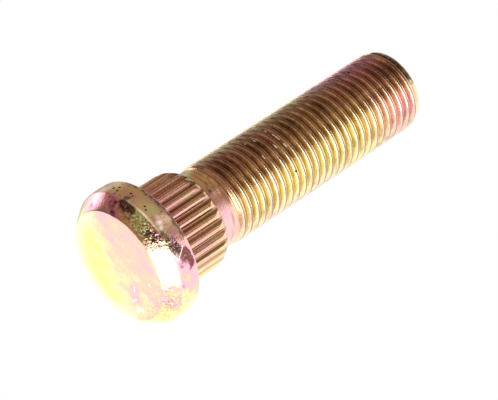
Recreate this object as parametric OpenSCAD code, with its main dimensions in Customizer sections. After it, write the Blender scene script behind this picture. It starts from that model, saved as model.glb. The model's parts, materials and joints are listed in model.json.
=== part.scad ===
// A wheel stud: one forged and rolled steel piece that is pressed into a wheel hub from behind.
// It stands on the flat end face of its head, with its axis on Z and its thread uppermost.
// Lengths are in millimetres.

/* [Head] */
// Diameter of the head
head_d = 23; // [21:0.5:26]
// Height of the head, from its end face to the seat behind the hub
head_h = 6.2; // [5:0.1:9]
// Diameter of the flat end face
face_d = 19; // [15:0.2:20]
// Height of the bevelled band between the end face and the rim
bevel_h = 2.5; // [1.5:0.1:3]
// How far the bevelled band bulges beyond a straight cone
bevel_bulge = 0.1; // [0:0.05:0.4]
// Radius that breaks the edges of the rim
rim_edge_r = 0.5; // [0.2:0.05:0.8]

/* [Knurl] */
// Diameter over the teeth of the knurl
knurl_d = 16.8; // [16:0.1:18]
// Length of the knurl, from the seat to the shoulder at the ends of its teeth
knurl_l = 9.4; // [6:0.1:14]
// Number of teeth round the knurl
tooth_count = 28; // [20:1:36]
// Depth of the grooves between the teeth
groove_depth = 0.6; // [0.3:0.05:0.7]
// Angle between the two walls of a groove
groove_angle = 84; // [60:2:90]
// Width of the flat floor of a groove
groove_floor_w = 0.2; // [0.1:0.05:0.4]
// Plain collar left between the seat and the grooves
collar_h = 0.4; // [0.2:0.1:1]
// Length over which the ends of the teeth round off
lead_in_l = 1.8; // [1:0.1:3]
// How far the teeth drop at their rounded ends
lead_in_drop = 0.7; // [0.3:0.05:0.9]

/* [Neck] */
// Diameter of the plain neck between the knurl and the thread
neck_d = 13.4; // [12.4:0.1:13.6]
// Length of the neck
neck_l = 2.6; // [1.5:0.1:5]
// Radius in the corner under the knurl's shoulder
neck_fillet_r = 0.4; // [0.2:0.1:0.6]

/* [Thread] */
// Diameter over the crests of the thread
thread_d = 14; // [14:0.1:15]
// Length of the threaded end, with its point
thread_l = 42.5; // [25:0.1:60]
// Slope of the cone where the thread runs out into the neck, from the axis
run_out_angle = 30; // [15:5:45]
// Length of the rounded point
point_l = 3; // [1.5:0.1:4]
// How far the point draws in at the tip
point_drop = 0.7; // [0.4:0.1:2]

/* [Hidden] */
$fn = 120;
head_r = head_d / 2;
face_r = face_d / 2;
knurl_r = knurl_d / 2;
neck_r = neck_d / 2;
thread_r = thread_d / 2;
seat_z = head_h;
shoulder_z = seat_z + knurl_l;
neck_top_z = shoulder_z + neck_l;
tip_z = neck_top_z + thread_l;
// The bevel ends this far inside the head's full radius, which takes the sharpness off the crease
crease_inset = rim_edge_r / 4;
// The thread rises from the neck over this height
run_out_h = (thread_r - neck_r) / tan(run_out_angle);
// Steps along each rounded stretch of the outline
edge_steps = 4;
curve_steps = 6;
// Groove cutters pass this far beyond the knurl's outer surface
cut_over = 0.4;

// Points of an arc about [r, z], from angle a0 to angle a1
function arc(r, z, radius, a0, a1) =
    [for (i = [0 : edge_steps])
        let (a = a0 + (a1 - a0) * i / edge_steps)
        [r + radius * cos(a), z + radius * sin(a)]];

// The bevel is a shallow bow from the end face to the rim, proud of its chord by the bulge at mid height
function bevel(r0, r1, h) =
    let (run = r1 - r0, chord = norm([run, h]))
    [for (i = [0 : curve_steps])
        let (t = i / curve_steps, bow = 4 * bevel_bulge * t * (1 - t))
        [r0 + run * t + bow * h / chord, h * t - bow * run / chord]];

// The head's outline: end face, bowed bevel, upright rim, and a rounded edge at the seat
function head_outline() = concat(
    [[0, 0]],
    bevel(face_r, head_r - crease_inset, bevel_h),
    [[head_r, bevel_h + rim_edge_r]],
    arc(head_r - rim_edge_r, seat_z - rim_edge_r, rim_edge_r, 0, 90));

// The knurl's outline over its teeth: straight, then a parabola that draws the teeth in at the shoulder
function knurl_outline() = concat(
    [[knurl_r, seat_z]],
    [for (i = [0 : curve_steps])
        let (t = i / curve_steps)
        [knurl_r - lead_in_drop * t * t, shoulder_z - lead_in_l * (1 - t)]]);

// The neck's outline: a corner radius under the shoulder, then straight to the thread
function neck_outline() = concat(
    arc(neck_r + neck_fillet_r, shoulder_z + neck_fillet_r, neck_fillet_r, 270, 180),
    [[neck_r, neck_top_z]]);

// The threaded end's outline over its crests: a run-out cone, a straight length and a quarter ellipse
function thread_outline() = concat(
    [[thread_r, neck_top_z + run_out_h]],
    [for (i = [0 : curve_steps])
        let (a = 90 * i / curve_steps)
        [thread_r - point_drop * (1 - cos(a)), tip_z - point_l * (1 - sin(a))]],
    [[0, tip_z]]);

// The forged blank, turned from one outline
module blank() {
    rotate_extrude()
        polygon(concat(head_outline(), knurl_outline(), neck_outline(), thread_outline()));
}

// One groove of the knurl: a flat-floored V that opens outwards, at azimuth 0
module groove() {
    floor_r = knurl_r - groove_depth;
    top_r = knurl_r + cut_over;
    top_w = groove_floor_w + 2 * (top_r - floor_r) * tan(groove_angle / 2);
    translate([0, 0, seat_z + collar_h])
        linear_extrude(knurl_l)
            polygon([
                [floor_r, -groove_floor_w / 2],
                [top_r, -top_w / 2],
                [top_r, top_w / 2],
                [floor_r, groove_floor_w / 2]]);
}

// The ring of grooves that leaves the teeth standing between them, with a tooth at azimuth 0
module knurl_grooves() {
    for (i = [0 : tooth_count - 1])
        rotate((i + 0.5) * 360 / tooth_count)
            groove();
}

// The whole stud, yellow-plated steel in one piece
module wheel_stud() {
    color("#b79a55")
        difference() {
            blank();
            knurl_grooves();
        }
}

wheel_stud();
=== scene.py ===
# %% [markdown]
# A wheel stud is one piece of steel. Its head is forged, its knurl and thread are rolled on, and the
# whole is zinc plated and dipped in a yellow chromate bath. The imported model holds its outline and
# the teeth of its knurl. This lesson works out one closed surface with numpy that adds what the
# outline leaves out: the helical thread, the soft edges of forging and its dents. It then builds the
# finish from nodes.

# %% Load the frame
import json
import bpy
import numpy as np
from mathutils import Matrix, Vector


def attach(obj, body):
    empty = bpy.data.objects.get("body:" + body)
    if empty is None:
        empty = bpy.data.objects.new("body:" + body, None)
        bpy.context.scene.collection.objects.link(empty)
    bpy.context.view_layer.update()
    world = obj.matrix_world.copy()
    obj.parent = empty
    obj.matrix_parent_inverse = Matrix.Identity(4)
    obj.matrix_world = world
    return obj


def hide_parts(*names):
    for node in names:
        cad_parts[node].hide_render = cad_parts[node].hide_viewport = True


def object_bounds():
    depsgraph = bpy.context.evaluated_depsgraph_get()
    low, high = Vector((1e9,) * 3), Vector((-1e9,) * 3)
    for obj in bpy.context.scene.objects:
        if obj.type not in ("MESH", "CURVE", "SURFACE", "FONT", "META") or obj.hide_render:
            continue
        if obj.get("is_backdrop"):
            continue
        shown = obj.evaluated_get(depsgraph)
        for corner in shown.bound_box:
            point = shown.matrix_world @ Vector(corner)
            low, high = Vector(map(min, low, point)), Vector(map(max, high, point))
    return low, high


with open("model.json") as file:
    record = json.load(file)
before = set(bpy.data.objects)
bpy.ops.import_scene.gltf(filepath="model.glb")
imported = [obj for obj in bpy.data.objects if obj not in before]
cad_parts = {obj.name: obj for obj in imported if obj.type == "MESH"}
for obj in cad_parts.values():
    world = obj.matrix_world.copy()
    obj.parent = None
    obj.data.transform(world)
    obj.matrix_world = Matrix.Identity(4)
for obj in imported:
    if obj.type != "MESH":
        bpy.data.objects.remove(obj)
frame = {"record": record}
cad_low, cad_high = (np.array(corner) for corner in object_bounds())
print("CAD box in mm:", np.round((cad_high - cad_low) * 1000, 2))

# %% [markdown]
# Sizes come from the frame where it has them: the whole length and the head's width from the box,
# the seat, the knurl and the thread from the record's mounts. The rest are named here, in
# millimetres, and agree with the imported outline. The mesh turns them to metres at the end.

# %% Sizes in millimetres
mounts = {mount["name"]: mount for mount in frame["record"]["mounts"]}
TIP_Z = (cad_high[2] - cad_low[2]) * 1000
HEAD_R = (cad_high[0] - cad_low[0]) * 1000 / 2
SEAT_Z = mounts["seat"]["pos_m"][2] * 1000
KNURL_R = mounts["knurl"]["dims"]["r_mm"]
SHOULDER_Z = SEAT_Z + mounts["knurl"]["dims"]["length_mm"]
THREAD_R = mounts["thread"]["dims"]["r_mm"]
FACE_R = 9.5
BEVEL_H = 2.5
BEVEL_BULGE = 0.1
RIM_EDGE_R = 0.5
TEETH = 28
GROOVE_DEPTH = 0.6
COLLAR_H = 0.4
LEAD_IN_L = 1.8
LEAD_IN_DROP = 0.7
NECK_R = 6.7
NECK_TOP_Z = SHOULDER_Z + 2.6
NECK_FILLET_R = 0.4
POINT_L = 3.0
POINT_DROP = 0.7
PITCH = 1.5
THREAD_DEPTH = 0.86
print("stud from z 0 to", round(TIP_Z, 2), "mm, seat at", SEAT_Z, "knurl radius", KNURL_R)

# %% [markdown]
# The photograph looks at the stud from the side of its head, 33 degrees off square to its axis, with
# the thread running up to the right. The lens is long. Here the stud stands on its head, so the same
# view looks up from below, rolled over by 56 degrees. The camera comes first, so that every later
# step is seen through it.

# %% Camera at the photograph's viewing angle
LOOK_UP = np.radians(32.57)
ROLL = np.radians(56.48)
LENS_MM = 188.3
DISTANCE_MM = 407.3
AIM_Z_MM = 28.0
AIM_RISE_MM = 3.05
forward = np.array([0.0, np.cos(LOOK_UP), np.sin(LOOK_UP)])
level_up = np.array([0.0, -np.sin(LOOK_UP), np.cos(LOOK_UP)])
level_right = np.array([1.0, 0.0, 0.0])
right = np.cos(ROLL) * level_right + np.sin(ROLL) * level_up
up = np.cross(right, forward)
camera_data = bpy.data.cameras.new("camera")
camera_data.lens = LENS_MM
camera_data.sensor_width = 36.0
camera_data.clip_start = 0.01
camera_data.clip_end = 10.0
camera = bpy.data.objects.new("camera", camera_data)
bpy.context.scene.collection.objects.link(camera)
place = np.array([0.0, 0.0, AIM_Z_MM]) - forward * DISTANCE_MM - up * AIM_RISE_MM
turn = Matrix(np.array([right, up, -forward]).T).to_4x4()
camera.matrix_world = Matrix.Translation(Vector(place / 1000)) @ turn
bpy.context.scene.camera = camera
print("camera in mm:", np.round(place, 1), "right:", np.round(right, 3), "up:", np.round(up, 3))

# %% [markdown]
# The surface is a grid. Its columns go round the stud and its rows go along an outline from the
# middle of the end face to the tip. Each outline stretch below is a list of radius and height. They
# are joined into one, so the forging, the knurl and the neck flow into each other with no seam.

# %% Outline of the head, the knurl and the neck
def bow(start, end, bulge, steps):
    """A straight chord plus a parabola across it, bulge high at the middle, to the chord's right."""
    t = np.linspace(0, 1, steps)[:, None]
    chord = end - start
    across = np.array([chord[1], -chord[0]]) / np.hypot(*chord)
    return start + t * chord + 4 * bulge * t * (1 - t) * across


def corner(centre, radius, start, end, steps):
    """An arc about a centre: radius times cosine and sine, from one angle to another in degrees."""
    a = np.radians(np.linspace(start, end, steps))[:, None]
    return centre + radius * np.hstack([np.cos(a), np.sin(a)])


def straight(start, end, steps):
    """Even steps from one point to another, without the last."""
    return start + np.linspace(0, 1, steps, endpoint=False)[:, None] * (end - start)


def point(r, z):
    """A radius and a height as one array."""
    return np.array([float(r), float(z)])


FACE_EDGE_MM = 0.12
RIM_BARREL = 0.12
CREASE_MM = 0.06
bevel_start, bevel_end = point(FACE_R, 0), point(HEAD_R - RIM_EDGE_R / 4, BEVEL_H)
rim_start = point(HEAD_R - RIM_BARREL, BEVEL_H + CREASE_MM)
rim_end = point(HEAD_R - RIM_BARREL, SEAT_Z - RIM_EDGE_R)
face_rows = np.vstack([straight(point(0.5, 0), point(FACE_R - 0.5, 0), 14), point(FACE_R - FACE_EDGE_MM, 0)])
bevel_rows = bow(bevel_start, bevel_end, BEVEL_BULGE, 16)
rim_rows = bow(rim_start, rim_end, RIM_BARREL, 12)[:-1]
back_centre = point(HEAD_R - RIM_BARREL - RIM_EDGE_R, SEAT_Z - RIM_EDGE_R)
back_rows = corner(back_centre, RIM_EDGE_R, 0, 90, 6)
seat_rows = straight(point(HEAD_R - 1.2, SEAT_Z), point(KNURL_R, SEAT_Z), 4)
collar_rows = np.array([[KNURL_R, SEAT_Z], [KNURL_R, SEAT_Z + COLLAR_H]])
tooth_rows = straight(point(KNURL_R, SEAT_Z + 1.5 * COLLAR_H), point(KNURL_R, SHOULDER_Z - LEAD_IN_L), 9)
t = np.linspace(0, 1, 9)
lead_in_rows = np.column_stack([KNURL_R - LEAD_IN_DROP * t**2, SHOULDER_Z - LEAD_IN_L * (1 - t)])
fillet_centre = point(NECK_R + NECK_FILLET_R, SHOULDER_Z + NECK_FILLET_R)
fillet_rows = corner(fillet_centre, NECK_FILLET_R, 270, 180, 5)
neck_rows = straight(point(NECK_R, SHOULDER_Z + 0.7), point(NECK_R, NECK_TOP_Z), 8)
stretches = [face_rows, bevel_rows, rim_rows, back_rows, seat_rows, collar_rows, tooth_rows]
fine_outline = np.vstack(stretches + [lead_in_rows, fillet_rows, neck_rows])
print("outline rows from the end face to the neck:", len(fine_outline))

# %% [markdown]
# The teeth of the knurl are the feature that catches the light. Each tooth has twelve columns, and
# they stand where its form turns: at the corners of its flat crest and of the groove's narrow floor.
# Four of the twelve carry on into the thread, where the surface needs fewer.

# %% Columns round the stud and the height of a tooth
CREST_HALF = 0.16
CREST_BOW = 0.1
FLOOR_HALF = 0.447
half_tooth = np.array([0.08, CREST_HALF, 0.26, 0.36, FLOOR_HALF])
TOOTH_COLUMNS = np.concatenate([[-0.5], -half_tooth[::-1], [0], half_tooth])
fine_angles = ((np.arange(TEETH)[:, None] + TOOTH_COLUMNS) * 2 * np.pi / TEETH).ravel()
across_tooth = np.tile(TOOTH_COLUMNS, TEETH)
coarse_angles = fine_angles[::3]


def tooth_height(share):
    """One on a slightly bowed crest, nought on the floor, and half straight, half S-shaped between."""
    ramp = np.clip((FLOOR_HALF - np.abs(share)) / (FLOOR_HALF - CREST_HALF), 0, 1)
    bow_off = CREST_BOW * np.clip(np.abs(share) / CREST_HALF, 0, 1) ** 2
    return (0.5 * ramp + 0.5 * ramp * ramp * (3 - 2 * ramp)) * (1 - bow_off)


print("columns:", len(fine_angles), "round the head and knurl,", len(coarse_angles), "round the thread")

# %% [markdown]
# Forging, tumbling and handling leave a surface that is never quite true. Slow waves bend it, and
# small dents pit it. Both are worked out from the place of each vertex, with one seeded generator,
# so they are the same on every run. A dent is a shallow bowl. A brush marks a round patch, and
# later steps use it for knocked places and for stains.

# %% Waves, dents and brushes
rng = np.random.default_rng(14)


def waves(places, length_mm, count=7):
    """A sum of sine waves in fixed random directions, each about one length long, from -1 to 1."""
    directions = rng.normal(size=(count, 3))
    directions /= np.linalg.norm(directions, axis=1)[:, None]
    phases = rng.uniform(0, 2 * np.pi, count)
    lengths = length_mm * rng.uniform(0.7, 1.5, count)
    return np.sin(places @ (directions / lengths[:, None] * 2 * np.pi).T + phases).mean(axis=1)


def bowls(places, centres, radii, depths):
    """The depth of the deepest bowl at each place: its depth times a bell curve of the distance."""
    away = np.linalg.norm(places[:, None, :] - centres[None], axis=2)
    return (depths * np.exp(-((away / radii) ** 2))).max(axis=1)


def at(azimuth, radius, z):
    """The place at an azimuth in degrees, a radius and a height."""
    a = np.radians(azimuth)
    return np.array([radius * np.cos(a), radius * np.sin(a), z])


def brush(places, azimuth, radius, z, size):
    """A soft round brush mark, one at its centre: a bell curve of the distance, size wide."""
    return np.exp(-((np.linalg.norm(places - at(azimuth, radius, z), axis=1) / size) ** 2))


# %% [markdown]
# The head, the knurl and the neck are one outline turned about the axis. On the knurl a place takes
# the lesser of two radii, the outline's and the tooth's, so the grooves run out by themselves where
# the teeth round off. A number for the hollows is kept too: nought on plain parts, and one on the
# floor of a groove. The finish lays its thick film by it.

# %% Surface of the head, knurl and neck
def revolve(outline, angles, radius):
    """Turns each outline row about Z: x and y are the radius times cosine and sine of the angle."""
    heights = np.broadcast_to(outline[:, 1:2], radius.shape)
    return np.stack([radius * np.cos(angles), radius * np.sin(angles), heights], axis=2)


radius = np.repeat(fine_outline[:, :1], len(fine_angles), axis=1)
heights = fine_outline[:, 1]
in_knurl = (heights > SEAT_Z + COLLAR_H) & (radius[:, 0] > KNURL_R - LEAD_IN_DROP - 0.01)
tooth_r = KNURL_R - GROOVE_DEPTH * (1 - tooth_height(across_tooth))
radius[in_knurl] = np.minimum(radius[in_knurl], tooth_r)
fine_places = revolve(fine_outline, fine_angles, radius).reshape(-1, 3)
CORNER_WIDTH = 0.05
THINNER_ON_CREST, THINNER_ON_CORNER = 0.35, 0.3
crest_corner = np.exp(-(((np.abs(across_tooth) - CREST_HALF) / CORNER_WIDTH) ** 2))
tooth_hollow = 1 - THINNER_ON_CREST * tooth_height(across_tooth) - THINNER_ON_CORNER * crest_corner
fine_hollow = np.where(in_knurl[:, None], tooth_hollow, 0.0).ravel()
print("rings in the knurl:", int(in_knurl.sum()))

# %% [markdown]
# The head took the knocks. Its pits crowd on two stretches of the bevel, and its skin is hammered on
# them and on the rim beside the first. Waves and pits are cut inwards. They fade out at the seat and
# are shallower towards the middle of the end face.

# %% Waves and dents of the head
# Each mark is an azimuth in degrees, a radius, a height and a size in millimetres, and an amount
BATTERED = [
    (-127, 10.8, 1.9, 1.4, 0.5), (-114, 10.7, 1.6, 1.4, 0.6), (-103, 10.7, 1.6, 1.6, 0.9),
    (-93, 10.8, 1.7, 1.5, 0.9), (-92, 11.45, 3.3, 1.0, 0.9), (-84, 11.4, 2.9, 1.3, 1.0),
    (-76, 11.4, 3.6, 1.2, 0.9), (-68, 11.4, 4.1, 1.3, 0.4), (-30, 10.2, 1.0, 2.4, 0.5),
    (-5, 10.2, 1.0, 2.6, 0.5),
]
fine_battered = np.max([amount * brush(fine_places, *mark) for *mark, amount in BATTERED], axis=0)

FRONT_PITS, LOWER_PITS, STRAY_PITS = 90, 70, 70
pit_count = FRONT_PITS + LOWER_PITS + STRAY_PITS
pit_angles = np.radians(np.concatenate([
    rng.normal(-93, 10, FRONT_PITS), rng.normal(-18, 22, LOWER_PITS),
    rng.uniform(-180, 180, STRAY_PITS)]))
pit_z = np.concatenate([
    rng.uniform(0.2, 3.4, FRONT_PITS), rng.uniform(0.1, 2.4, LOWER_PITS),
    rng.uniform(0.2, 5.6, STRAY_PITS)])
bevel_slope = (bevel_end[0] - FACE_R) / BEVEL_H
pit_r = np.minimum(FACE_R + BEVEL_BULGE + bevel_slope * pit_z, HEAD_R)
pits = np.column_stack([pit_r * np.cos(pit_angles), pit_r * np.sin(pit_angles), pit_z])
pit_radii = rng.uniform(0.2, 0.5, pit_count)
pit_depths = rng.uniform(0.01, 0.045, pit_count)

head_rows = len(face_rows) + len(bevel_rows) + len(rim_rows) + len(back_rows)
head = np.arange(len(fine_places)) < head_rows * len(fine_angles)
SLOW_WAVE_MM, QUICK_WAVE_MM, HAMMER_WAVE_MM = 9.0, 2.6, 0.8
rough = 0.05 * waves(fine_places, SLOW_WAVE_MM) + 0.02 * waves(fine_places, QUICK_WAVE_MM)
rough += 0.03 * fine_battered * waves(fine_places, HAMMER_WAVE_MM, 12)
sunk = np.zeros(len(fine_places))
sunk[head] = bowls(fine_places[head], pits, pit_radii, pit_depths)
inward = fine_places - np.array([0, 0, SEAT_Z])
inward /= np.linalg.norm(inward, axis=1)[:, None]
SEAT_MARGIN_MM = 0.6
edge_of_head = np.clip((SEAT_Z - SEAT_MARGIN_MM - fine_places[:, 2]) / SEAT_MARGIN_MM, 0, 1) * head
off_face = np.clip(np.hypot(fine_places[:, 0], fine_places[:, 1]) / FACE_R, 0, 1) ** 2
push = (0.03 + np.abs(rough) + sunk) * edge_of_head * (0.25 + 0.75 * off_face)
fine_places = fine_places - inward * push[:, None]
fine_places[:, 2] = np.maximum(fine_places[:, 2], 0.0)
print("vertices of the head, knurl and neck:", len(fine_places))
print("deepest pit in mm:", round(float(sunk.max()), 3), "deepest cut in all:", round(float(push.max()), 3))

# %% [markdown]
# A rolled thread is a V of 60 degrees wound up a right-handed helix, blunt at its crest and rounded
# at its root. The phase of a place is its height in pitches less its turn, so it is nought all along
# the crest. The V is worked out once, over one pitch, and a Fourier transform softens its corners.

# %% Form of one pitch of the thread
ROWS_PER_PITCH = 20
CREST_START_MM = 0.956
RUN_IN = 1.8
POINT_ROUND_MM = 0.09
BAND_MM = 1.3
row_count = int((TIP_Z - NECK_TOP_Z) / PITCH * ROWS_PER_PITCH)
thread_z = np.linspace(NECK_TOP_Z, TIP_Z, row_count)

phase_steps = 400
phase_grid = np.arange(phase_steps) / phase_steps
distance = np.abs((phase_grid + 0.5) % 1 - 0.5) * PITCH
CREST_HALF_MM = 0.17
FLANK_ANGLE = np.radians(30)
SOFT_MM = 0.03
v_cut = np.clip((distance - CREST_HALF_MM) / (THREAD_DEPTH * np.tan(FLANK_ANGLE)), 0, 1)
spectrum = np.fft.rfft(v_cut)
softness = np.exp(-2 * (np.pi * np.arange(len(spectrum)) * SOFT_MM / PITCH) ** 2)
soft_cut = np.fft.irfft(spectrum * softness, phase_steps)


def cut_depth(z, angle):
    """The share of the full depth cut away at a height and angle, read from the softened V."""
    phase = ((z - CREST_START_MM) / PITCH - angle / (2 * np.pi)) % 1
    return np.interp(phase, phase_grid, soft_cut, period=1)


def point_radius(z):
    """A quarter ellipse: the crest radius less the drop times one minus the ellipse's height."""
    along = np.clip((z - (TIP_Z - POINT_L)) / POINT_L, 0, 1)
    return THREAD_R - POINT_DROP * (1 - np.sqrt(1 - along**2))


print("rows of the thread:", row_count, "turns:", round((TIP_Z - NECK_TOP_Z) / PITCH, 1))

# %% [markdown]
# The V is now wound on. The cut starts shallow above the neck, and the crests come up to their full
# radius a little sooner than the cut comes down to its full depth. The rounded point shaves the last
# crests off and leaves a nearly smooth band round the tip.

# %% Surface of the thread and the point
CREST_LEAD = 1.6
BAND_EDGE_MM = 0.6
BAND_SHAVED = 0.8
angle_grid, z_grid = np.meshgrid(coarse_angles, thread_z)
rise = np.clip((z_grid - NECK_TOP_Z) / RUN_IN, 0, 1)
rise = rise * rise * (3 - 2 * rise)
crest_r = NECK_R + (THREAD_R - NECK_R) * np.clip(rise * CREST_LEAD, 0, 1)
near_tip = np.clip((z_grid - (TIP_Z - BAND_MM - BAND_EDGE_MM / 2)) / BAND_EDGE_MM, 0, 1)
cut = cut_depth(z_grid, angle_grid) * (1 - BAND_SHAVED * near_tip)
wound_r = crest_r - THREAD_DEPTH * rise * cut
tip_r = point_radius(z_grid)
blend = 0.5 + 0.5 * np.clip((tip_r - wound_r) / POINT_ROUND_MM, -1, 1)
rounded_r = tip_r * (1 - blend) + wound_r * blend - POINT_ROUND_MM * blend * (1 - blend) / 2
coarse_r = np.where(np.abs(tip_r - wound_r) < POINT_ROUND_MM, rounded_r, np.minimum(tip_r, wound_r))
thread_places = np.stack([coarse_r * np.cos(angle_grid), coarse_r * np.sin(angle_grid), z_grid], axis=2)
thread_places = thread_places.reshape(-1, 3)
thread_hollow = (cut * rise).ravel()
print("crest radius from", round(float(crest_r.min()), 2), "to", round(float(crest_r.max()), 2), "mm")

# %% [markdown]
# The crests stand proud, so they take the knocks. Small nicks are strewn over the thread and fade
# out towards its roots. The end face is flat, and its rings draw in evenly to the axis.

# %% Nicks in the crests, and the end face
WOBBLE_MM = 0.012
nick_count = 50
nick_angles = rng.uniform(-np.pi, np.pi, nick_count)
nick_z = rng.uniform(NECK_TOP_Z + 2, TIP_Z - 1, nick_count)
nicks = np.column_stack([THREAD_R * np.cos(nick_angles), THREAD_R * np.sin(nick_angles), nick_z])
nick_radii, nick_depths = rng.uniform(0.2, 0.45, nick_count), rng.uniform(0.03, 0.09, nick_count)
nick_depth = bowls(thread_places, nicks, nick_radii, nick_depths)
outward = thread_places * [1, 1, 0]
outward /= np.linalg.norm(outward, axis=1)[:, None]
unevenness = nick_depth * (1 - thread_hollow) + WOBBLE_MM + WOBBLE_MM * waves(thread_places, 5.0)
thread_places -= outward * unevenness[:, None]

end_share = np.linspace(0.86, 0.08, 8)[:, None]
end_r = end_share * coarse_r[-1]
end_z = np.full_like(end_r, TIP_Z)
end_places = np.stack([end_r * np.cos(coarse_angles), end_r * np.sin(coarse_angles), end_z], axis=2)
end_places = end_places.reshape(-1, 3)
print("nicks:", nick_count, "deepest cut in mm:", round(float(unevenness.max()), 3))

# %% [markdown]
# The rings are now sewn together. Two rings with the same number of columns are joined by quads.
# Where three columns of the neck meet one of the thread, each gap takes a triangle, a quad and a
# triangle. A fan closes each end, so the stud is one watertight surface like its solid.

# %% Sew the rings into one mesh
def quads(first, rows, columns):
    """Quads between neighbouring rings of a grid whose first vertex has the given index."""
    index = first + np.arange(rows * columns).reshape(rows, columns)
    here, onward = index[:-1], index[1:]
    return np.stack([here, np.roll(here, -1, 1), np.roll(onward, -1, 1), onward], axis=2).reshape(-1, 4)


fine_count, coarse_count = len(fine_angles), len(coarse_angles)
coarse_places = np.vstack([thread_places, end_places])
fine_rows, coarse_rows = len(fine_places) // fine_count, len(coarse_places) // coarse_count
first_fine, first_coarse = 1, 1 + len(fine_places)
top_pole = first_coarse + len(coarse_places)
places_mm = np.vstack([[[0, 0, 0]], fine_places, coarse_places, [[0, 0, TIP_Z]]])
four_sided = [quads(first_fine, fine_rows, fine_count), quads(first_coarse, coarse_rows, coarse_count)]
below = first_fine + (fine_rows - 1) * fine_count + np.arange(fine_count)
above = first_coarse + np.arange(coarse_count)
next_above = np.roll(above, -1)
b0, b1, b2, b3 = below[0::3], below[1::3], below[2::3], np.roll(below[0::3], -1)
four_sided.append(np.stack([b1, b2, next_above, above], axis=1))
three_sided = [np.stack([b0, b1, above], axis=1), np.stack([b2, b3, next_above], axis=1)]
first_ring = first_fine + np.arange(fine_count)
last_ring = first_coarse + (coarse_rows - 1) * coarse_count + np.arange(coarse_count)
pole = np.zeros_like(first_ring)
three_sided.append(np.stack([pole, np.roll(first_ring, -1), first_ring], axis=1))
three_sided.append(np.stack([last_ring, np.roll(last_ring, -1), np.full_like(last_ring, top_pole)], axis=1))
faces = np.vstack(four_sided).tolist() + np.vstack(three_sided).tolist()

stud_mesh = bpy.data.meshes.new("stud")
stud_mesh.from_pydata(places_mm / 1000, [], faces)
stud_mesh.update()
stud_mesh.shade_smooth()
stud = bpy.data.objects.new("plated_stud", stud_mesh)
bpy.context.scene.collection.objects.link(stud)
triangles = sum(len(face) - 2 for face in faces)
print("stud mesh:", len(places_mm), "vertices and", triangles, "triangles")

# %% [markdown]
# The finish is zinc plate under a yellow chromate film. Zinc is a bright grey metal. The film is thin
# enough to play in colours, and these wander as the bath drains off: straw and gold at one end,
# peach and pink in the middle, mauve and rose at the other. So the hue is kept as one number for
# each vertex, from 0 to 1, and a ramp turns it to a colour. The number starts from slow waves, and a
# soft brush then draws it towards a chosen value at the stains that stand out. Green patches, dark
# tarnish with painted shade, and pale painted highlights each have a share of their own. A mark stops
# where its own part of the stud does, such as the bevel or the rim.

# %% Stains, green patches, and tarnish with painted shade
STRAW, GOLD, PEACH, PINK, MAUVE, ROSE = 0.0, 0.25, 0.45, 0.62, 0.8, 1.0
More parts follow.
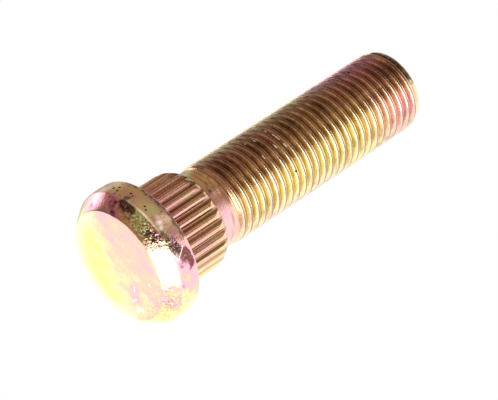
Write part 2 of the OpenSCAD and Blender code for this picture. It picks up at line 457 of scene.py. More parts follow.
# Each mark is an azimuth in degrees, a radius, a height and a size in millimetres, and the value it
# draws towards: a hue for a stain, and a share for green and for tarnish with painted shade
STAINS = {
    "face": [
        (150, 6.0, 0, 4.5, STRAW), (105, 6.4, 0, 4.0, STRAW), (65, 7.2, 0, 3.2, STRAW),
        (-120, 4.0, 0, 4.0, PEACH), (-75, 6.5, 0, 3.2, PINK), (-112, 8.2, 0, 2.0, PINK),
        (-150, 8.6, 0, 1.8, PINK), (-45, 6.0, 0, 2.6, PEACH), (30, 3.4, 0, 2.0, GOLD),
        (-5, 4.3, 0, 1.1, MAUVE), (10, 5.6, 0, 1.1, MAUVE), (-90, 1.5, 0, 2.0, 0.35),
    ],
    "point": [(-58, 6.5, 60, 3.0, PEACH), (-30, 6.5, 60, 3.0, PEACH), (10, 6.5, 60, 5.0, STRAW)],
    "bevel": [
        (-166, 10.3, 1.0, 2.6, 0.76), (-145, 10.6, 1.4, 2.4, MAUVE), (-137, 10.2, 1.0, 1.4, MAUVE),
        (-116, 10.4, 1.0, 1.6, GOLD), (-104, 10.5, 1.5, 1.5, 0.35), (-94, 10.7, 1.7, 1.6, PINK),
        (-70, 10.7, 1.5, 2.2, GOLD), (-30, 10.0, 0.8, 2.4, PEACH), (-2, 10.0, 0.8, 3.0, -0.15),
        (30, 10.0, 0.8, 3.0, -0.15),
    ],
    "rim": [
        (-164, 11.5, 4.0, 1.4, 0.35), (-150, 11.5, 4.2, 1.7, 0.05), (-140, 11.5, 4.2, 1.2, 0.15),
        (-152, 11.5, 3.0, 0.8, 0.45), (-132, 11.5, 3.4, 1.0, PEACH), (-118, 11.5, 4.2, 1.6, GOLD),
        (-108, 11.5, 3.4, 1.0, STRAW), (-100, 11.5, 3.4, 1.0, STRAW), (-104, 11.5, 5.4, 1.4, PEACH),
        (-90, 11.5, 4.6, 1.6, 0.4), (-82, 11.5, 5.2, 1.4, 0.5), (-78, 11.5, 4.4, 1.3, 0.72),
        (-71, 11.5, 4.0, 1.7, 1.15), (-66, 11.5, 4.8, 1.5, 1.15), (-46, 11.5, 4.4, 2.0, PINK),
        (-20, 11.5, 4.2, 3.0, STRAW),
    ],
    "shank": [
        (-130, 7.0, z, 4.4, value) for z, value in ((22, 0.5), (30, 0.45), (38, 0.28), (46, 0.22))] + [
        (-52, 7.0, z, 5.0, 0.14) for z in (24, 32, 40, 47)] + [
        (-150, 8.4, 7.6, 2.2, 0.6), (-118, 8.4, 7.8, 2.6, 0.6), (-88, 8.4, 8.0, 2.8, 0.55),
        (-85, 8.3, 13.2, 2.8, 0.35), (-55, 8.4, 10.0, 3.4, 0.55), (-90, 7.0, 23, 3.2, 0.22),
        (-60, 7.0, 23, 4.0, 0.2), (-130, 6.7, 16.8, 1.8, 0.1), (-112, 6.7, 17.0, 1.7, 0.3),
        (-94, 6.7, 17.0, 1.6, 0.5), (-68, 6.7, 17.0, 2.2, PINK), (-40, 6.7, 17.0, 2.6, PINK),
        (-165, 7.0, 30, 5.0, 0.35), (-166, 7.0, 48, 5.0, 0.75), (-160, 7.0, 55, 4.6, 0.85),
        (-25, 7.0, 57, 6.0, PEACH), (-58, 7.0, 57, 3.4, PINK), (-75, 7.0, 53.5, 3.0, PEACH),
    ],
}
GREEN = {
    "bevel": [(-114, 10.9, 2.0, 1.3, 1.1), (-108, 10.6, 1.6, 1.3, 1.1), (-101, 10.4, 1.2, 1.3, 0.7)],
    "rim": [(-124, 11.5, 4.6, 1.6, 0.45), (-111, 11.5, 3.9, 1.2, 1.1), (-96, 11.5, 3.2, 0.6, 0.6)],
    "shank": [(-52, 7.0, z, 4.8, 0.43) for z in (24, 31, 38, 45)] + [
        (-168, 7.0, z, 3.4, 0.55) for z in (26, 34, 42)] + [
        (-150, 8.3, 12.4, 3.4, 0.35), (-118, 8.3, 12.6, 3.4, 0.35), (-85, 8.3, 13.6, 2.4, 0.3),
        (-152, 6.7, 16.6, 1.4, 0.9), (-150, 7.0, 46, 4.0, 0.45),
    ],
    "point": [(-125, 6.6, 60.2, 3.0, 0.5)],
}
TARNISH_AND_SHADE = {
    "bevel": [
        (-132, 10.9, 2.0, 1.0, 1.0), (-127, 10.8, 1.9, 1.0, 1.0), (-122, 10.7, 1.8, 0.8, 1.0),
        (-138, 10.3, 0.9, 1.0, 0.45), (-122, 10.2, 0.6, 0.8, 0.45), (-98, 10.6, 1.5, 1.3, 0.6),
        (-92, 10.8, 1.9, 1.2, 0.6), (-148, 10.9, 2.2, 0.6, 0.5),
    ],
    "rim": [
        (-146, 11.4, 2.7, 0.5, 0.7), (-140, 11.4, 2.7, 0.5, 0.8), (-134, 11.4, 2.8, 0.6, 0.9),
        # The marks from azimuth -93 to -75 darken the rim there, next to the rim stains at -71 and -66 that
        # draw its hue to dark rose.
        (-131, 11.4, 3.2, 0.4, 0.7), (-93, 11.4, 2.9, 0.7, 0.5), (-88, 11.4, 3.0, 0.9, 0.6),
        (-82, 11.4, 3.4, 1.0, 0.6), (-75, 11.4, 3.4, 1.1, 0.6),
    # Painted shade: a row of marks darkens the rim's back edge on the dim side.
    ] + [(azimuth, 11.2, 6.1, 0.9, 0.75) for azimuth in range(-150, -80, 6)],
    # Painted shade: these marks darken the side of the shank away from the card: the thread, the ends of the
    # knurl's teeth, a spot on the neck where the window's light falls, and the band round the point.
    "shank": [(-128, 7.0, z, 4.4, 0.58) for z in (22, 29, 36, 43)] + [
        (-125, 7.0, 50, 4.2, 0.52), (-122, 7.0, 55.5, 3.6, 0.5), (-112, 7.0, 58.4, 3.0, 0.6),
        (-150, 8.2, 15, 1.8, 0.6), (-132, 8.2, 15, 1.8, 0.6), (-118, 8.2, 15.2, 1.2, 0.5),
        (-108, 6.7, 17.2, 1.2, 0.5)],
    "point": [(azimuth, 6.5, 60.2, 2.0, 0.85) for azimuth in (-150, -128, -108, -92)],
}
print("marks:", sum(len(marks) for table in (STAINS, GREEN, TARNISH_AND_SHADE) for marks in table.values()))

# %% [markdown]
# The marks are now painted over slow waves, each only on its own part of the stud. Quicker waves
# unsettle the film on the face, the rim and the bevel. The two sides of a tooth of the knurl differ
# in the photograph because they mirror different light, so one is painted towards rose and the other
# towards green: a painted reflection. Small specks of tarnish lie on the rim and the bevel.

# %% Paint the film, the green, and the tarnish with its painted shade
MEAN_FILM = 0.34
THREAD_FADE_Z, THREAD_FADE_MM = 26, 12
row_zones = np.repeat(
    ["face", "bevel", "rim", "shank"],
    [len(face_rows), len(bevel_rows), len(rim_rows) + len(back_rows), fine_rows - head_rows])
rest = np.full(len(coarse_places) + 1, "shank")
zones = np.concatenate([["face"], np.repeat(row_zones, fine_count), rest])
zones[places_mm[:, 2] > TIP_Z - BAND_MM] = "point"
up_thread = np.clip((places_mm[:, 2] - THREAD_FADE_Z) / THREAD_FADE_MM, 0, 1)
film = MEAN_FILM - 0.16 * up_thread
film = film + 0.25 * waves(places_mm, 14.0, 5) + 0.1 * waves(places_mm, 4.0, 7)
green = np.zeros(len(places_mm))
tarnish = np.zeros(len(places_mm))
for values, stains in ((film, STAINS), (green, GREEN), (tarnish, TARNISH_AND_SHADE)):
    for zone, marks in stains.items():
        for azimuth, stain_r, z, size, value in marks:
            values += brush(places_mm, azimuth, stain_r, z, size) * (zones == zone) * (value - values)
unsettled = 0.24 * (zones == "face") + 0.7 * (zones == "rim") + 0.4 * (zones == "bevel")
film += waves(places_mm, 2.2, 9) * unsettled
tooth_side = np.where(in_knurl[:, None], across_tooth, 0.0).ravel()
tooth_side = np.concatenate([[0], tooth_side, np.zeros(len(coarse_places) + 1)])
# Painted reflection: the sides of each tooth are tinted apart, one towards rose and one towards green.
film += 0.3 * tooth_side
green += 0.9 * np.clip(-tooth_side, 0, 1)
specks = np.clip(waves(places_mm, 0.9, 9), 0, 1)
tarnish += specks * (0.6 * (zones == "rim") + 0.5 * (zones == "bevel"))
print("film from", round(float(film.min()), 2), "to", round(float(film.max()), 2))

# %% [markdown]
# Pale matt paint stands for highlights: a bright line along the crease between bevel and rim,
# strongest where it stands out, a few spots of painted highlight beside it, and part of the end
# face's edge. The rest of the rim on that side is painted a little paler.

# %% Painted highlights
CREASE_LINE_MM = 0.13
FACE_EDGE_LIT_MM = 1.5
RIM_LIGHTER = 0.16
radii_mm = np.hypot(places_mm[:, 0], places_mm[:, 1])
azimuths = np.degrees(np.arctan2(places_mm[:, 1], places_mm[:, 0]))
from_crease = np.hypot(radii_mm - bevel_end[0], places_mm[:, 2] - BEVEL_H)
bright_run = np.exp(-(((azimuths + 111) / 18) ** 2))
how_bright = 0.1 + 1.2 * bright_run + 0.5 * waves(places_mm, 3.0)
worn = np.exp(-((from_crease / CREASE_LINE_MM) ** 2)) * how_bright
PAINTED_GLINTS = [
    (-104, 11.5, 3.9, 0.5, 0.7), (-100, 11.5, 3.6, 0.6, 1.0), (-96, 11.5, 3.3, 0.5, 0.9),
    (-70, 10.7, 1.4, 1.5, 0.7), (-62, 10.6, 1.2, 1.3, 0.7),
]
for *mark, value in PAINTED_GLINTS:
    worn = np.maximum(worn, value * brush(places_mm, *mark))
lit_face_side = np.clip(np.sin(np.radians(azimuths - 20)) * 3, 0, 1) * (zones == "face")
worn = np.maximum(worn, 0.6 * lit_face_side * np.exp(-(((FACE_R - radii_mm) / FACE_EDGE_LIT_MM) ** 2)))
worn = np.maximum(worn, RIM_LIGHTER * (zones == "rim") * np.clip((-78 - azimuths) / 12, 0, 1))
# The count is of vertices more than half painted highlight.
print("vertices rubbed more than half bare:", int((worn > 0.5).sum()))

# %% [markdown]
# Three more numbers guide the nodes: how deep a vertex lies in a groove, how battered its place is,
# and whether it is on the thread. The thread's grooves are painted lighter on the side that faces the
# wide soft box and near the tip on that side: painted light. All seven numbers are put into the mesh as
# maps.

# %% Hollows and the maps of the mesh
hollow = np.concatenate([[0], fine_hollow, thread_hollow, np.zeros(len(end_places)), [0]])
battered = np.concatenate([[0], fine_battered, np.zeros(len(coarse_places)), [0]])
threaded = np.clip((places_mm[:, 2] - NECK_TOP_Z - 0.6) / 1.2, 0, 1) * (places_mm[:, 2] < TIP_Z - 1.2)
# Painted light: the grooves get less thick film on the side towards the wide soft box.
lit_groove_side = np.clip(np.cos(np.radians(azimuths + 40)), 0, 1) ** 2 * threaded
hollow *= 1 - 0.13 * lit_groove_side - 0.2 * brush(places_mm, -45, 7.0, 56.0, 5.0)
maps = {"film": film, "hollow": hollow, "battered": battered, "threaded": threaded}
maps.update(green=green, tarnish=tarnish, worn=np.clip(worn, 0, 1))
for name, values in maps.items():
    stud_mesh.attributes.new(name, "FLOAT", "POINT").data.foreach_set("value", values.astype(np.float32))
print("maps:", ", ".join(maps))

# %% [markdown]
# Colours are chosen in sRGB, as a screen shows them, and one function turns them to the linear values
# that the renderer works in. Two more small functions add a node and fill a colour ramp.

# %% Helpers for colours and nodes
def linear(hex_value):
    """sRGB hex to linear: below 0.04045 divided by 12.92, above it a power of 2.4."""
    srgb = np.array([int(hex_value[i : i + 2], 16) for i in (1, 3, 5)]) / 255
    return (*np.where(srgb <= 0.04045, srgb / 12.92, ((srgb + 0.055) / 1.055) ** 2.4).tolist(), 1.0)


def add(tree, kind, inputs=None, **settings):
    """Adds a node, sets its settings, and fills each input with a value or a link from a socket."""
    node = tree.nodes.new(kind)
    for name, value in settings.items():
        setattr(node, name, value)
    for name, value in (inputs or {}).items():
        if isinstance(value, bpy.types.NodeSocket):
            tree.links.new(value, node.inputs[name])
        else:
            node.inputs[name].default_value = value
    return node


def fill_ramp(node, stops):
    """Gives a colour ramp its stops, each a position and a linear colour."""
    ramp = node.color_ramp
    while len(ramp.elements) < len(stops):
        ramp.elements.new(0.5)
    for element, (position, colour) in zip(ramp.elements, stops):
        element.position = position
        element.color = colour


print("straw in linear light:", np.round(linear("#f0dc84")[:3], 3))

# %% [markdown]
# The finish is put together from the film outwards. The hue from the mesh, shifted a little by fine
# stains, picks a colour on the ramp. Green patches and the thick film of the grooves go over it. The
# fine stains also give every painted patch a ragged edge, so that no brush mark shows as a round
# spot. On the thread the edges are less ragged, because ragged ones looked like dust there.

# %% Colours of the film
finish = bpy.data.materials.new("yellow_chromate_zinc")
finish.use_nodes = True
tree = finish.node_tree
tree.nodes.clear()
metres = add(tree, "ShaderNodeTexCoord").outputs["Object"]
film_value = add(tree, "ShaderNodeAttribute", attribute_name="film").outputs["Fac"]

# Fine stains about 0.7 mm across break the brush marks up. A noise's scale is its cycles to the
# metre, so it is 1000 over its size in millimetres.
MOTTLE_MM = 1 / 1.4
mottle = add(tree, "ShaderNodeTexNoise", {
    "Vector": metres, "Scale": 1000 / MOTTLE_MM, "Detail": 3.0, "Roughness": 0.6})
shift = add(tree, "ShaderNodeMapRange", {
    "Value": mottle.outputs["Fac"], "From Min": 0.3, "From Max": 0.7, "To Min": -0.1, "To Max": 0.1})
battered_share = add(tree, "ShaderNodeAttribute", attribute_name="battered").outputs["Fac"]
unrest = add(tree, "ShaderNodeMath", {
    0: battered_share, 1: 2.5, 2: 1.0}, operation="MULTIPLY_ADD").outputs["Value"]
shifted = add(tree, "ShaderNodeMath", {
    0: shift.outputs["Result"], 1: unrest, 2: film_value}, operation="MULTIPLY_ADD")
hue = add(tree, "ShaderNodeValToRGB", {"Fac": shifted.outputs["Value"]})
fill_ramp(hue, [
    (STRAW, linear("#f0dc84")),
    (GOLD, linear("#ead0a2")),
    (PEACH, linear("#e6baa0")),
    (PINK, linear("#e6b0b4")),
    (MAUVE, linear("#e8a8c4")),
    (ROSE, linear("#7a4642")),
])
in_thread = add(tree, "ShaderNodeAttribute", attribute_name="threaded").outputs["Fac"]
raggedness = add(tree, "ShaderNodeMapRange", {
    "Value": in_thread, "To Min": 2.5, "To Max": 0.8}).outputs["Result"]


def ragged(map_name):
    """A painted share, moved up or down by the fine stains and then steepened to a ragged edge."""
    painted = add(tree, "ShaderNodeAttribute", attribute_name=map_name).outputs["Fac"]
    moved = add(tree, "ShaderNodeMath", {
        0: shift.outputs["Result"], 1: raggedness, 2: painted}, operation="MULTIPLY_ADD")
    return add(tree, "ShaderNodeMapRange", {
        "Value": moved.outputs["Value"], "From Min": 0.25, "From Max": 0.85, "To Min": 0.0, "To Max": 0.95},
        interpolation_type="SMOOTHSTEP").outputs["Result"]


greened = add(tree, "ShaderNodeMix", {
    "Factor": ragged("green"), "A": hue.outputs["Color"], "B": linear("#e2f6ac")}, data_type="RGBA")

# A thick film lies in the grooves, red-brown in the knurl and olive-brown in the thread
thick_film = add(tree, "ShaderNodeMix", {
    "Factor": in_thread, "A": linear("#7c3c28"), "B": linear("#70502f")}, data_type="RGBA")
depth_in_groove = add(tree, "ShaderNodeAttribute", attribute_name="hollow").outputs["Fac"]
groove_share = add(tree, "ShaderNodeMapRange", {
    "Value": depth_in_groove, "From Min": 0.45, "From Max": 1.0, "To Min": 0.0, "To Max": 0.72})
browned = add(tree, "ShaderNodeMix", {
    "Factor": groove_share.outputs["Result"], "A": greened.outputs["Result"],
    "B": thick_film.outputs["Result"]}, data_type="RGBA")

# %% [markdown]
# Rolling leaves each thread crest with two fine lines, where the metal folds up from both sides and
# nearly meets. The lines are painted: dark painted shade in each fold, with pale lips of painted
# highlight beside it. The helix has a formula, so the lines need no mesh: a place's phase is its
# height in pitches less its share of a turn, and a narrow band of phases is the line.

# %% Fold lines along the crests, in painted shade and highlight
METRE_PITCH = PITCH / 1000
parts = add(tree, "ShaderNodeSeparateXYZ", {"Vector": metres}).outputs
angle = add(tree, "ShaderNodeMath", {0: parts["Y"], 1: parts["X"]}, operation="ARCTAN2").outputs["Value"]
turns = add(tree, "ShaderNodeMath", {0: angle, 1: 2 * np.pi}, operation="DIVIDE").outputs["Value"]
pitches = add(tree, "ShaderNodeMath", {
    0: parts["Z"], 1: 1 / METRE_PITCH, 2: 0.5 - CREST_START_MM / PITCH},
    operation="MULTIPLY_ADD").outputs["Value"]
wound = add(tree, "ShaderNodeMath", {0: pitches, 1: turns}, operation="SUBTRACT").outputs["Value"]
phase = add(tree, "ShaderNodeMath", {0: wound}, operation="FRACT").outputs["Value"]
crest_colour = add(tree, "ShaderNodeValToRGB", {"Fac": phase})
# Painted shade in the folds and painted highlights on their lips
lip_highlight, seam_shade, band = linear("#ecccc2"), linear("#2c2018"), linear("#b89a8e")
fill_ramp(crest_colour, [
    (0.36, lip_highlight), (0.375, lip_highlight), (0.39, seam_shade), (0.44, seam_shade), (0.455, lip_highlight), (0.475, band), (0.49, seam_shade),
    (0.54, seam_shade), (0.555, band), (0.60, lip_highlight)])
crest_share = add(tree, "ShaderNodeValToRGB", {"Fac": phase})
none, most = (0, 0, 0, 1), (0.78, 0.78, 0.78, 1)
fill_ramp(crest_share, [(0.355, none), (0.375, most), (0.60, most), (0.63, none)])
line_share = add(tree, "ShaderNodeMath", {
    0: crest_share.outputs["Color"], 1: in_thread}, operation="MULTIPLY").outputs["Value"]
lined = add(tree, "ShaderNodeMix", {
    "Factor": line_share, "A": browned.outputs["Result"],
    "B": crest_colour.outputs["Color"]}, data_type="RGBA")

# %% [markdown]
# Turning and rolling draw fine lines round the neck and along the thread. They are a noise drawn out
# round the axis, and they stop at the knurl. Tarnish and painted shade go over them, and dirt over
# that: where the stud is battered, dirt lies in the hollows and the high places are rubbed bare.

# %% Drawn lines, tarnish with painted shade, and dirt
STREAK_MM = 1 / 3.6
drawn_out = add(tree, "ShaderNodeVectorMath", {
    0: metres, 1: (0.08, 0.08, 1.0)}, operation="MULTIPLY").outputs["Vector"]
streaks = add(tree, "ShaderNodeTexNoise", {
    "Vector": drawn_out, "Scale": 1000 / STREAK_MM, "Detail": 2.0, "Roughness": 0.6})
streak_share = add(tree, "ShaderNodeMapRange", {
    "Value": streaks.outputs["Fac"], "From Min": 0.5, "From Max": 0.68, "To Min": 0.0, "To Max": 0.45})
above_knurl = add(tree, "ShaderNodeMapRange", {
    "Value": parts["Z"], "From Min": SHOULDER_Z / 1000, "From Max": SHOULDER_Z / 1000 + 0.0004})
line_depth = add(tree, "ShaderNodeMath", {
    0: streak_share.outputs["Result"], 1: above_knurl.outputs["Result"]},
    operation="MULTIPLY").outputs["Value"]
drawn = add(tree, "ShaderNodeMix", {
    "Factor": line_depth, "A": lined.outputs["Result"], "B": linear("#6a4c34")}, data_type="RGBA")
# Painted shade: the tarnish map also darkens the dim side of the shank, the point and the rim's back edge.
tarnished = add(tree, "ShaderNodeMix", {
    "Factor": ragged("tarnish"), "A": drawn.outputs["Result"], "B": linear("#4c362a")}, data_type="RGBA")

HAMMERED_MM = 1 / 3
hammered = add(tree, "ShaderNodeTexNoise", {
    "Vector": metres, "Scale": 1000 / HAMMERED_MM, "Detail": 1.0, "Roughness": 0.5})
low_places = add(tree, "ShaderNodeMapRange", {
    "Value": hammered.outputs["Fac"], "From Min": 0.5, "From Max": 0.38, "To Min": 0.0, "To Max": 0.9})
dirt = add(tree, "ShaderNodeMath", {
    0: low_places.outputs["Result"], 1: battered_share}, operation="MULTIPLY").outputs["Value"]
dirty = add(tree, "ShaderNodeMix", {
    "Factor": dirt, "A": tarnished.outputs["Result"], "B": linear("#48342a")}, data_type="RGBA")
high_places = add(tree, "ShaderNodeMapRange", {
    "Value": hammered.outputs["Fac"], "From Min": 0.56, "From Max": 0.66, "To Min": 0.0, "To Max": 0.6})
rubbed_tops = add(tree, "ShaderNodeMath", {
    0: high_places.outputs["Result"], 1: battered_share}, operation="MULTIPLY").outputs["Value"]

# %% [markdown]
# A few marks on the stud are too small for the mesh: dark pits where dirt has lodged, pale scuffs
# where the film was scraped off, and painted glints. A pit is a ball about its place. A scuff or glint
# is a matt stroke between two places, so it stays pale even where the stud mirrors the dark. The two
# longest meet in a V, and are the lips of a lap that the forging die folded into the rim. The short
# strokes on the thread's flanks are painted highlights: glints of the window along the crests.

# %% Pits, scuffs and painted glints
PITS = [
    (-66, 6.95, 32.1, 0.3), (-74, 6.95, 43.1, 0.24), (-147, 6.95, 55.3, 0.3), (-145, 6.95, 52.5, 0.3),
    (-154, 6.95, 47.8, 0.26), (-152, 11.45, 3.7, 0.36), (-146, 11.45, 3.4, 0.32), (-148, 11.45, 4.2, 0.3),
    (-155, 11.45, 4.0, 0.2), (-134, 11.45, 4.0, 0.26), (-131, 11.45, 3.8, 0.2), (-117, 11.45, 3.6, 0.22),
    (-114, 11.45, 3.3, 0.22), (-106, 11.45, 5.0, 0.16),
]
LAP_TIP = (-68, 11.45, 3.0)
SCUFFS_AND_GLINTS = [
    ((-77, 11.42, 2.55), LAP_TIP, 0.13), (LAP_TIP, (-76, 11.45, 4.8), 0.11),
]
# Painted highlights: short pale strokes on the thread's flanks, glints of the window along the crests.
FLANK_R = 6.5
BELOW_CREST = 0.3
for glint_azimuth in rng.uniform(-144, -100, 12):
    winding, reach, width_mm = rng.integers(19, 23), rng.uniform(1.0, 4.5), rng.uniform(0.08, 0.18)
    ends = (glint_azimuth, glint_azimuth + reach)
    flank_z = [CREST_START_MM + PITCH * (winding + end / 360 - BELOW_CREST) for end in ends]
    SCUFFS_AND_GLINTS.append(((ends[0], FLANK_R, flank_z[0]), (ends[1], FLANK_R, flank_z[1]), width_mm))
SCUFFS_AND_GLINTS += [
    ((-8, 4.0, 0), (2, 4.5, 0), 0.16), ((10, 5.8, 0), (22, 6.1, 0), 0.14),
    ((14, 7.4, 0), (20, 7.7, 0), 0.4), ((8, 7.5, 0), (10, 8.0, 0), 0.25),
    ((-44, 6.6, 0), (-42, 6.9, 0), 0.16), ((164, 5.4, 0), (170, 5.2, 0), 0.16),
]


def spotted(under, marks, colour):
    """Mixes a colour in inside each mark's ball, full at its middle and gone at its edge."""
    for azimuth, spot_r, z, size in marks:
        centre = at(azimuth, spot_r, z) / 1000
        away = add(tree, "ShaderNodeVectorMath", {0: metres, 1: centre.tolist()}, operation="DISTANCE")
        share = add(tree, "ShaderNodeMapRange", {
            "Value": away.outputs["Value"], "From Min": size * 0.0005, "From Max": size * 0.001,
            "To Min": 1.0, "To Max": 0.0})
        under = add(tree, "ShaderNodeMix", {
            "Factor": share.outputs["Result"], "A": under, "B": colour}, data_type="RGBA").outputs["Result"]
    return under


def stroke(start, end, width_mm):
    """One on the line between two places, and nought from its width outwards."""
    begin = at(*start) / 1000
    reach = at(*end) / 1000 - begin
    offset = add(tree, "ShaderNodeVectorMath", {
        0: metres, 1: begin.tolist()}, operation="SUBTRACT").outputs["Vector"]
    along = add(tree, "ShaderNodeVectorMath", {
        0: offset, 1: (reach / np.sum(reach**2)).tolist()}, operation="DOT_PRODUCT").outputs["Value"]
    held = add(tree, "ShaderNodeClamp", {"Value": along}).outputs["Result"]
    foot = add(tree, "ShaderNodeVectorMath", {
        0: reach.tolist(), "Scale": held}, operation="SCALE").outputs["Vector"]
    away = add(tree, "ShaderNodeVectorMath", {0: offset, 1: foot}, operation="DISTANCE").outputs["Value"]
    return add(tree, "ShaderNodeMapRange", {
        "Value": away, "From Min": width_mm * 0.0004, "From Max": width_mm * 0.001,
        "To Min": 1.0, "To Max": 0.0}).outputs["Result"]


worn_share = add(tree, "ShaderNodeAttribute", attribute_name="worn").outputs["Fac"]
# Bare metal and the painted highlights share one pale matt mix.
bare_and_highlight_share = add(tree, "ShaderNodeMath", {
    0: worn_share, 1: rubbed_tops}, operation="MAXIMUM").outputs["Value"]
for start, end, width_mm in SCUFFS_AND_GLINTS:
    bare_and_highlight_share = add(tree, "ShaderNodeMath", {
        0: bare_and_highlight_share, 1: stroke(start, end, width_mm)}, operation="MAXIMUM").outputs["Value"]
bared_and_highlighted = add(tree, "ShaderNodeMix", {
    "Factor": bare_and_highlight_share, "A": dirty.outputs["Result"], "B": linear("#fff4e4")}, data_type="RGBA")
marked = spotted(bared_and_highlighted.outputs["Result"], PITS, linear("#2a1c16"))
print("pits:", len(PITS), "scuffs:", len(SCUFFS_AND_GLINTS))

# %% [markdown]
# Plating is glossy but not a mirror. A fine grain bends the reflections a little everywhere. It is
# finer on the real stud, and is drawn at 0.25 mm so that it shows. The hammered texture bends them
# much more on the battered stretches. The roughness wanders with the fine stains, and it is higher
# on bare metal, on the painted highlights and on the neck.

# %% Grain, roughness and shader
GRAIN_MM = 0.25
GRAIN_BUMP, HAMMERED_BUMP = 0.12, 0.32
NECK_ROUGHER, BARE_AND_HIGHLIGHT_ROUGHER = 0.16, 0.45
grain = add(tree, "ShaderNodeTexNoise", {
    "Vector": metres, "Scale": 1000 / GRAIN_MM, "Detail": 2.0, "Roughness": 0.5})
fine_bump = add(tree, "ShaderNodeBump", {
    "Height": grain.outputs["Fac"], "Strength": GRAIN_BUMP, "Distance": 0.00025}).outputs["Normal"]
bump_strength = add(tree, "ShaderNodeMath", {
    0: battered_share, 1: HAMMERED_BUMP}, operation="MULTIPLY").outputs["Value"]
bump = add(tree, "ShaderNodeBump", {
    "Height": hammered.outputs["Fac"], "Strength": bump_strength, "Distance": 0.0006,
    "Normal": fine_bump}).outputs["Normal"]
gloss = add(tree, "ShaderNodeMapRange", {
    "Value": mottle.outputs["Fac"], "From Min": 0.3, "From Max": 0.7, "To Min": 0.08, "To Max": 0.2})
matt_share = add(tree, "ShaderNodeMath", {
    0: bare_and_highlight_share, 1: BARE_AND_HIGHLIGHT_ROUGHER, 2: gloss.outputs["Result"]},
    operation="MULTIPLY_ADD").outputs["Value"]
below_thread = add(tree, "ShaderNodeMapRange", {
    "Value": parts["Z"], "From Min": NECK_TOP_Z / 1000 + 0.0006, "From Max": NECK_TOP_Z / 1000 - 0.0002})
on_neck = add(tree, "ShaderNodeMath", {
    0: above_knurl.outputs["Result"], 1: below_thread.outputs["Result"]},
    operation="MULTIPLY").outputs["Value"]
roughness = add(tree, "ShaderNodeMath", {
    0: on_neck, 1: NECK_ROUGHER, 2: matt_share}, operation="MULTIPLY_ADD").outputs["Value"]

# Scraped zinc is white with oxide, so the scuffs are less metallic than the plate round them, and
# the painted highlights are made the same way
metallic = add(tree, "ShaderNodeMapRange", {
    "Value": bare_and_highlight_share, "To Min": 1.0, "To Max": 0.3}).outputs["Result"]
shader = add(tree, "ShaderNodeBsdfPrincipled", {
    "Base Color": marked, "Metallic": metallic, "Roughness": roughness, "Normal": bump})
add(tree, "ShaderNodeOutputMaterial", {"Surface": shader.outputs["BSDF"]})
stud_mesh.materials.append(finish)
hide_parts("wheel_stud")
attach(stud, "root")
print("finish:", finish.name, "with", len(tree.nodes), "nodes")

# %% [markdown]
# The photograph looks as if it was taken on white card under soft light: some sides of the stud burn
# out, as if they mirror the card, and one is dark brown, as if it mirrors a dim room. Reflections off
# the shank, the bevel and the rim all put the dim part within 65 degrees of one direction, square to
# the stud's axis. So the sky here is bright all round except on that side. Two more dim parts lie
# behind the stud as the camera sees it: the upper one greys the edge of the shank that mirrors it,
# and the lower one the thread's flanks along that edge.

# %% Sky
CARD_AZIMUTH = np.radians(35)
CARD_SIDE = (float(np.cos(CARD_AZIMUTH)), float(np.sin(CARD_AZIMUTH)), 0.0)
SKY_STRENGTH = 1.5
# Each dim part is a direction, the cosines where it starts and is full, and the share of light left
DIM_PARTS = [((-0.25, 0.75, 0.61), 0.84, 0.97, 0.33), ((-0.6, 0.58, -0.55), 0.9, 0.97, 0.3)]
scene = bpy.context.scene
scene.view_settings.view_transform = "Standard"
world = bpy.data.worlds.new("studio")
scene.world = world
world.use_nodes = True
sky = world.node_tree
sky.nodes.clear()
towards = add(sky, "ShaderNodeTexCoord").outputs["Generated"]
facing = add(sky, "ShaderNodeVectorMath", {
    0: towards, 1: CARD_SIDE}, operation="DOT_PRODUCT").outputs["Value"]
share = add(sky, "ShaderNodeMapRange", {
    "Value": facing, "From Min": -1.0, "From Max": 1.0}).outputs["Result"]
sky_ramp = add(sky, "ShaderNodeValToRGB", {"Fac": share})
fill_ramp(sky_ramp, [
    (0.00, linear("#98806f")),
    (0.16, linear("#846a5b")),
    (0.28, linear("#8e7666")),
    (0.37, linear("#ab9c90")),
    (0.40, linear("#d8d0c8")),
    (0.44, linear("#ffffff")),
    (1.00, linear("#ffffff")),
])

strength = SKY_STRENGTH
for dim_side, outer, inner, dimmed in DIM_PARTS:
    nearness = add(sky, "ShaderNodeVectorMath", {
        0: towards, 1: dim_side}, operation="DOT_PRODUCT").outputs["Value"]
    left_over = add(sky, "ShaderNodeMapRange", {
        "Value": nearness, "From Min": outer, "From Max": inner, "To Min": 1.0, "To Max": dimmed})
    strength = add(sky, "ShaderNodeMath", {
        0: left_over.outputs["Result"], 1: strength}, operation="MULTIPLY").outputs["Value"]
lit = add(sky, "ShaderNodeBackground", {"Color": sky_ramp.outputs["Color"], "Strength": strength})
plain = add(sky, "ShaderNodeBackground", {"Color": (1.0, 1.0, 1.0, 1.0), "Strength": 1.0})
seen = add(sky, "ShaderNodeLightPath").outputs["Is Camera Ray"]
mixed = add(sky, "ShaderNodeMixShader", {
    "Fac": seen, 1: lit.outputs["Background"], 2: plain.outputs["Background"]})
add(sky, "ShaderNodeOutputWorld", {"Surface": mixed.outputs["Shader"]})
print("sky is brightest towards", np.round(CARD_SIDE, 2))

# %% [markdown]
# Three soft boxes add what an even sky can't. A small one, the window, gives the bright lines along
# crests and teeth. A wide one from below burns out the side that mirrors the card. The third stands
# behind the stud's upper left edge and lights the side that faces away.

# %% Soft boxes
def soft_box(name, towards, distance, size, power):
    """A square area light that looks at the stud's middle from a direction, sizes in metres."""
    light = bpy.data.lights.new(name, "AREA")
    light.size = size
    light.energy = power
    lamp = bpy.data.objects.new(name, light)
    scene.collection.objects.link(lamp)
    direction = Vector(towards).normalized()
    lamp.location = direction * distance + Vector((0, 0, TIP_Z / 2000))
    lamp.rotation_euler = direction.to_track_quat("Z", "Y").to_euler()


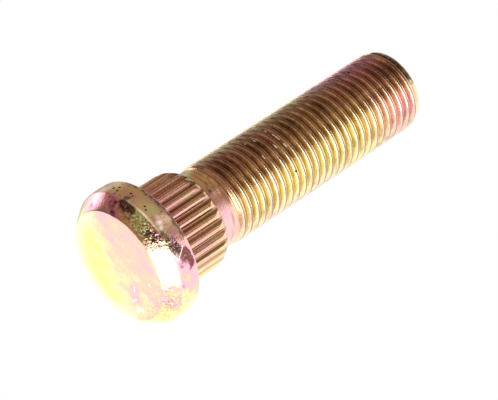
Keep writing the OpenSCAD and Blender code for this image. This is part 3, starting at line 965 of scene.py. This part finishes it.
LIGHT_AWAY = 0.6
soft_box("window", (-0.29, -0.79, 0.54), LIGHT_AWAY, 0.12, 0.04)
soft_box("card_glare", (0.55, -0.55, -0.62), LIGHT_AWAY, 0.6, 3.4)
soft_box("side_card", (-0.79, 0.61, -0.08), LIGHT_AWAY, 0.21, 0.2)
print("soft boxes:", len(bpy.data.lights), "at", LIGHT_AWAY, "m")

# %% [markdown]
# The stud stands on a pale floor. The photograph's view comes from below that floor, so the floor is
# one-sided, like a stage: it is there for every view from above, and clear from underneath. The stud
# does not mirror it, because the card in the surroundings already takes its place. Far from the stud
# it fades to the white of the surroundings, so no view shows where it ends.

# %% Floor
FLOOR_DROP = 0.00005
FLOOR_HALF_SIDE = 3.0
FADE_START, FADE_END = 0.08, 0.8
sides = np.array([(-1, -1), (1, -1), (1, 1), (-1, 1)]) * FLOOR_HALF_SIDE
floor_places = np.column_stack([sides, np.full(4, -FLOOR_DROP)])
floor_mesh = bpy.data.meshes.new("floor")
floor_mesh.from_pydata(floor_places, [], [(0, 1, 2, 3)])
floor = bpy.data.objects.new("floor", floor_mesh)
scene.collection.objects.link(floor)
floor.visible_diffuse = False
floor.visible_glossy = False
floor.visible_transmission = False
floor.visible_shadow = False
paper = bpy.data.materials.new("pale_floor")
paper.use_nodes = True
tree = paper.node_tree
tree.nodes.clear()
matt = add(tree, "ShaderNodeBsdfDiffuse", {"Color": linear("#d2d1cf")})
white = add(tree, "ShaderNodeEmission", {"Color": (1.0, 1.0, 1.0, 1.0), "Strength": 1.0})
floor_metres = add(tree, "ShaderNodeTexCoord").outputs["Object"]
from_stud = add(tree, "ShaderNodeVectorMath", {0: floor_metres}, operation="LENGTH").outputs["Value"]
far_off = add(tree, "ShaderNodeMapRange", {
    "Value": from_stud, "From Min": FADE_START, "From Max": FADE_END},
    interpolation_type="SMOOTHSTEP").outputs["Result"]
faded = add(tree, "ShaderNodeMixShader", {
    "Fac": far_off, 1: matt.outputs["BSDF"], 2: white.outputs["Emission"]})
clear = add(tree, "ShaderNodeBsdfTransparent")
back = add(tree, "ShaderNodeNewGeometry").outputs["Backfacing"]
either = add(tree, "ShaderNodeMixShader", {
    "Fac": back, 1: faded.outputs["Shader"], 2: clear.outputs["BSDF"]})
add(tree, "ShaderNodeOutputMaterial", {"Surface": either.outputs["Shader"]})
floor_mesh.materials.append(paper)
floor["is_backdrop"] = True
print("floor:", 2 * FLOOR_HALF_SIDE, "m across, fading from", FADE_START, "to", FADE_END, "m")
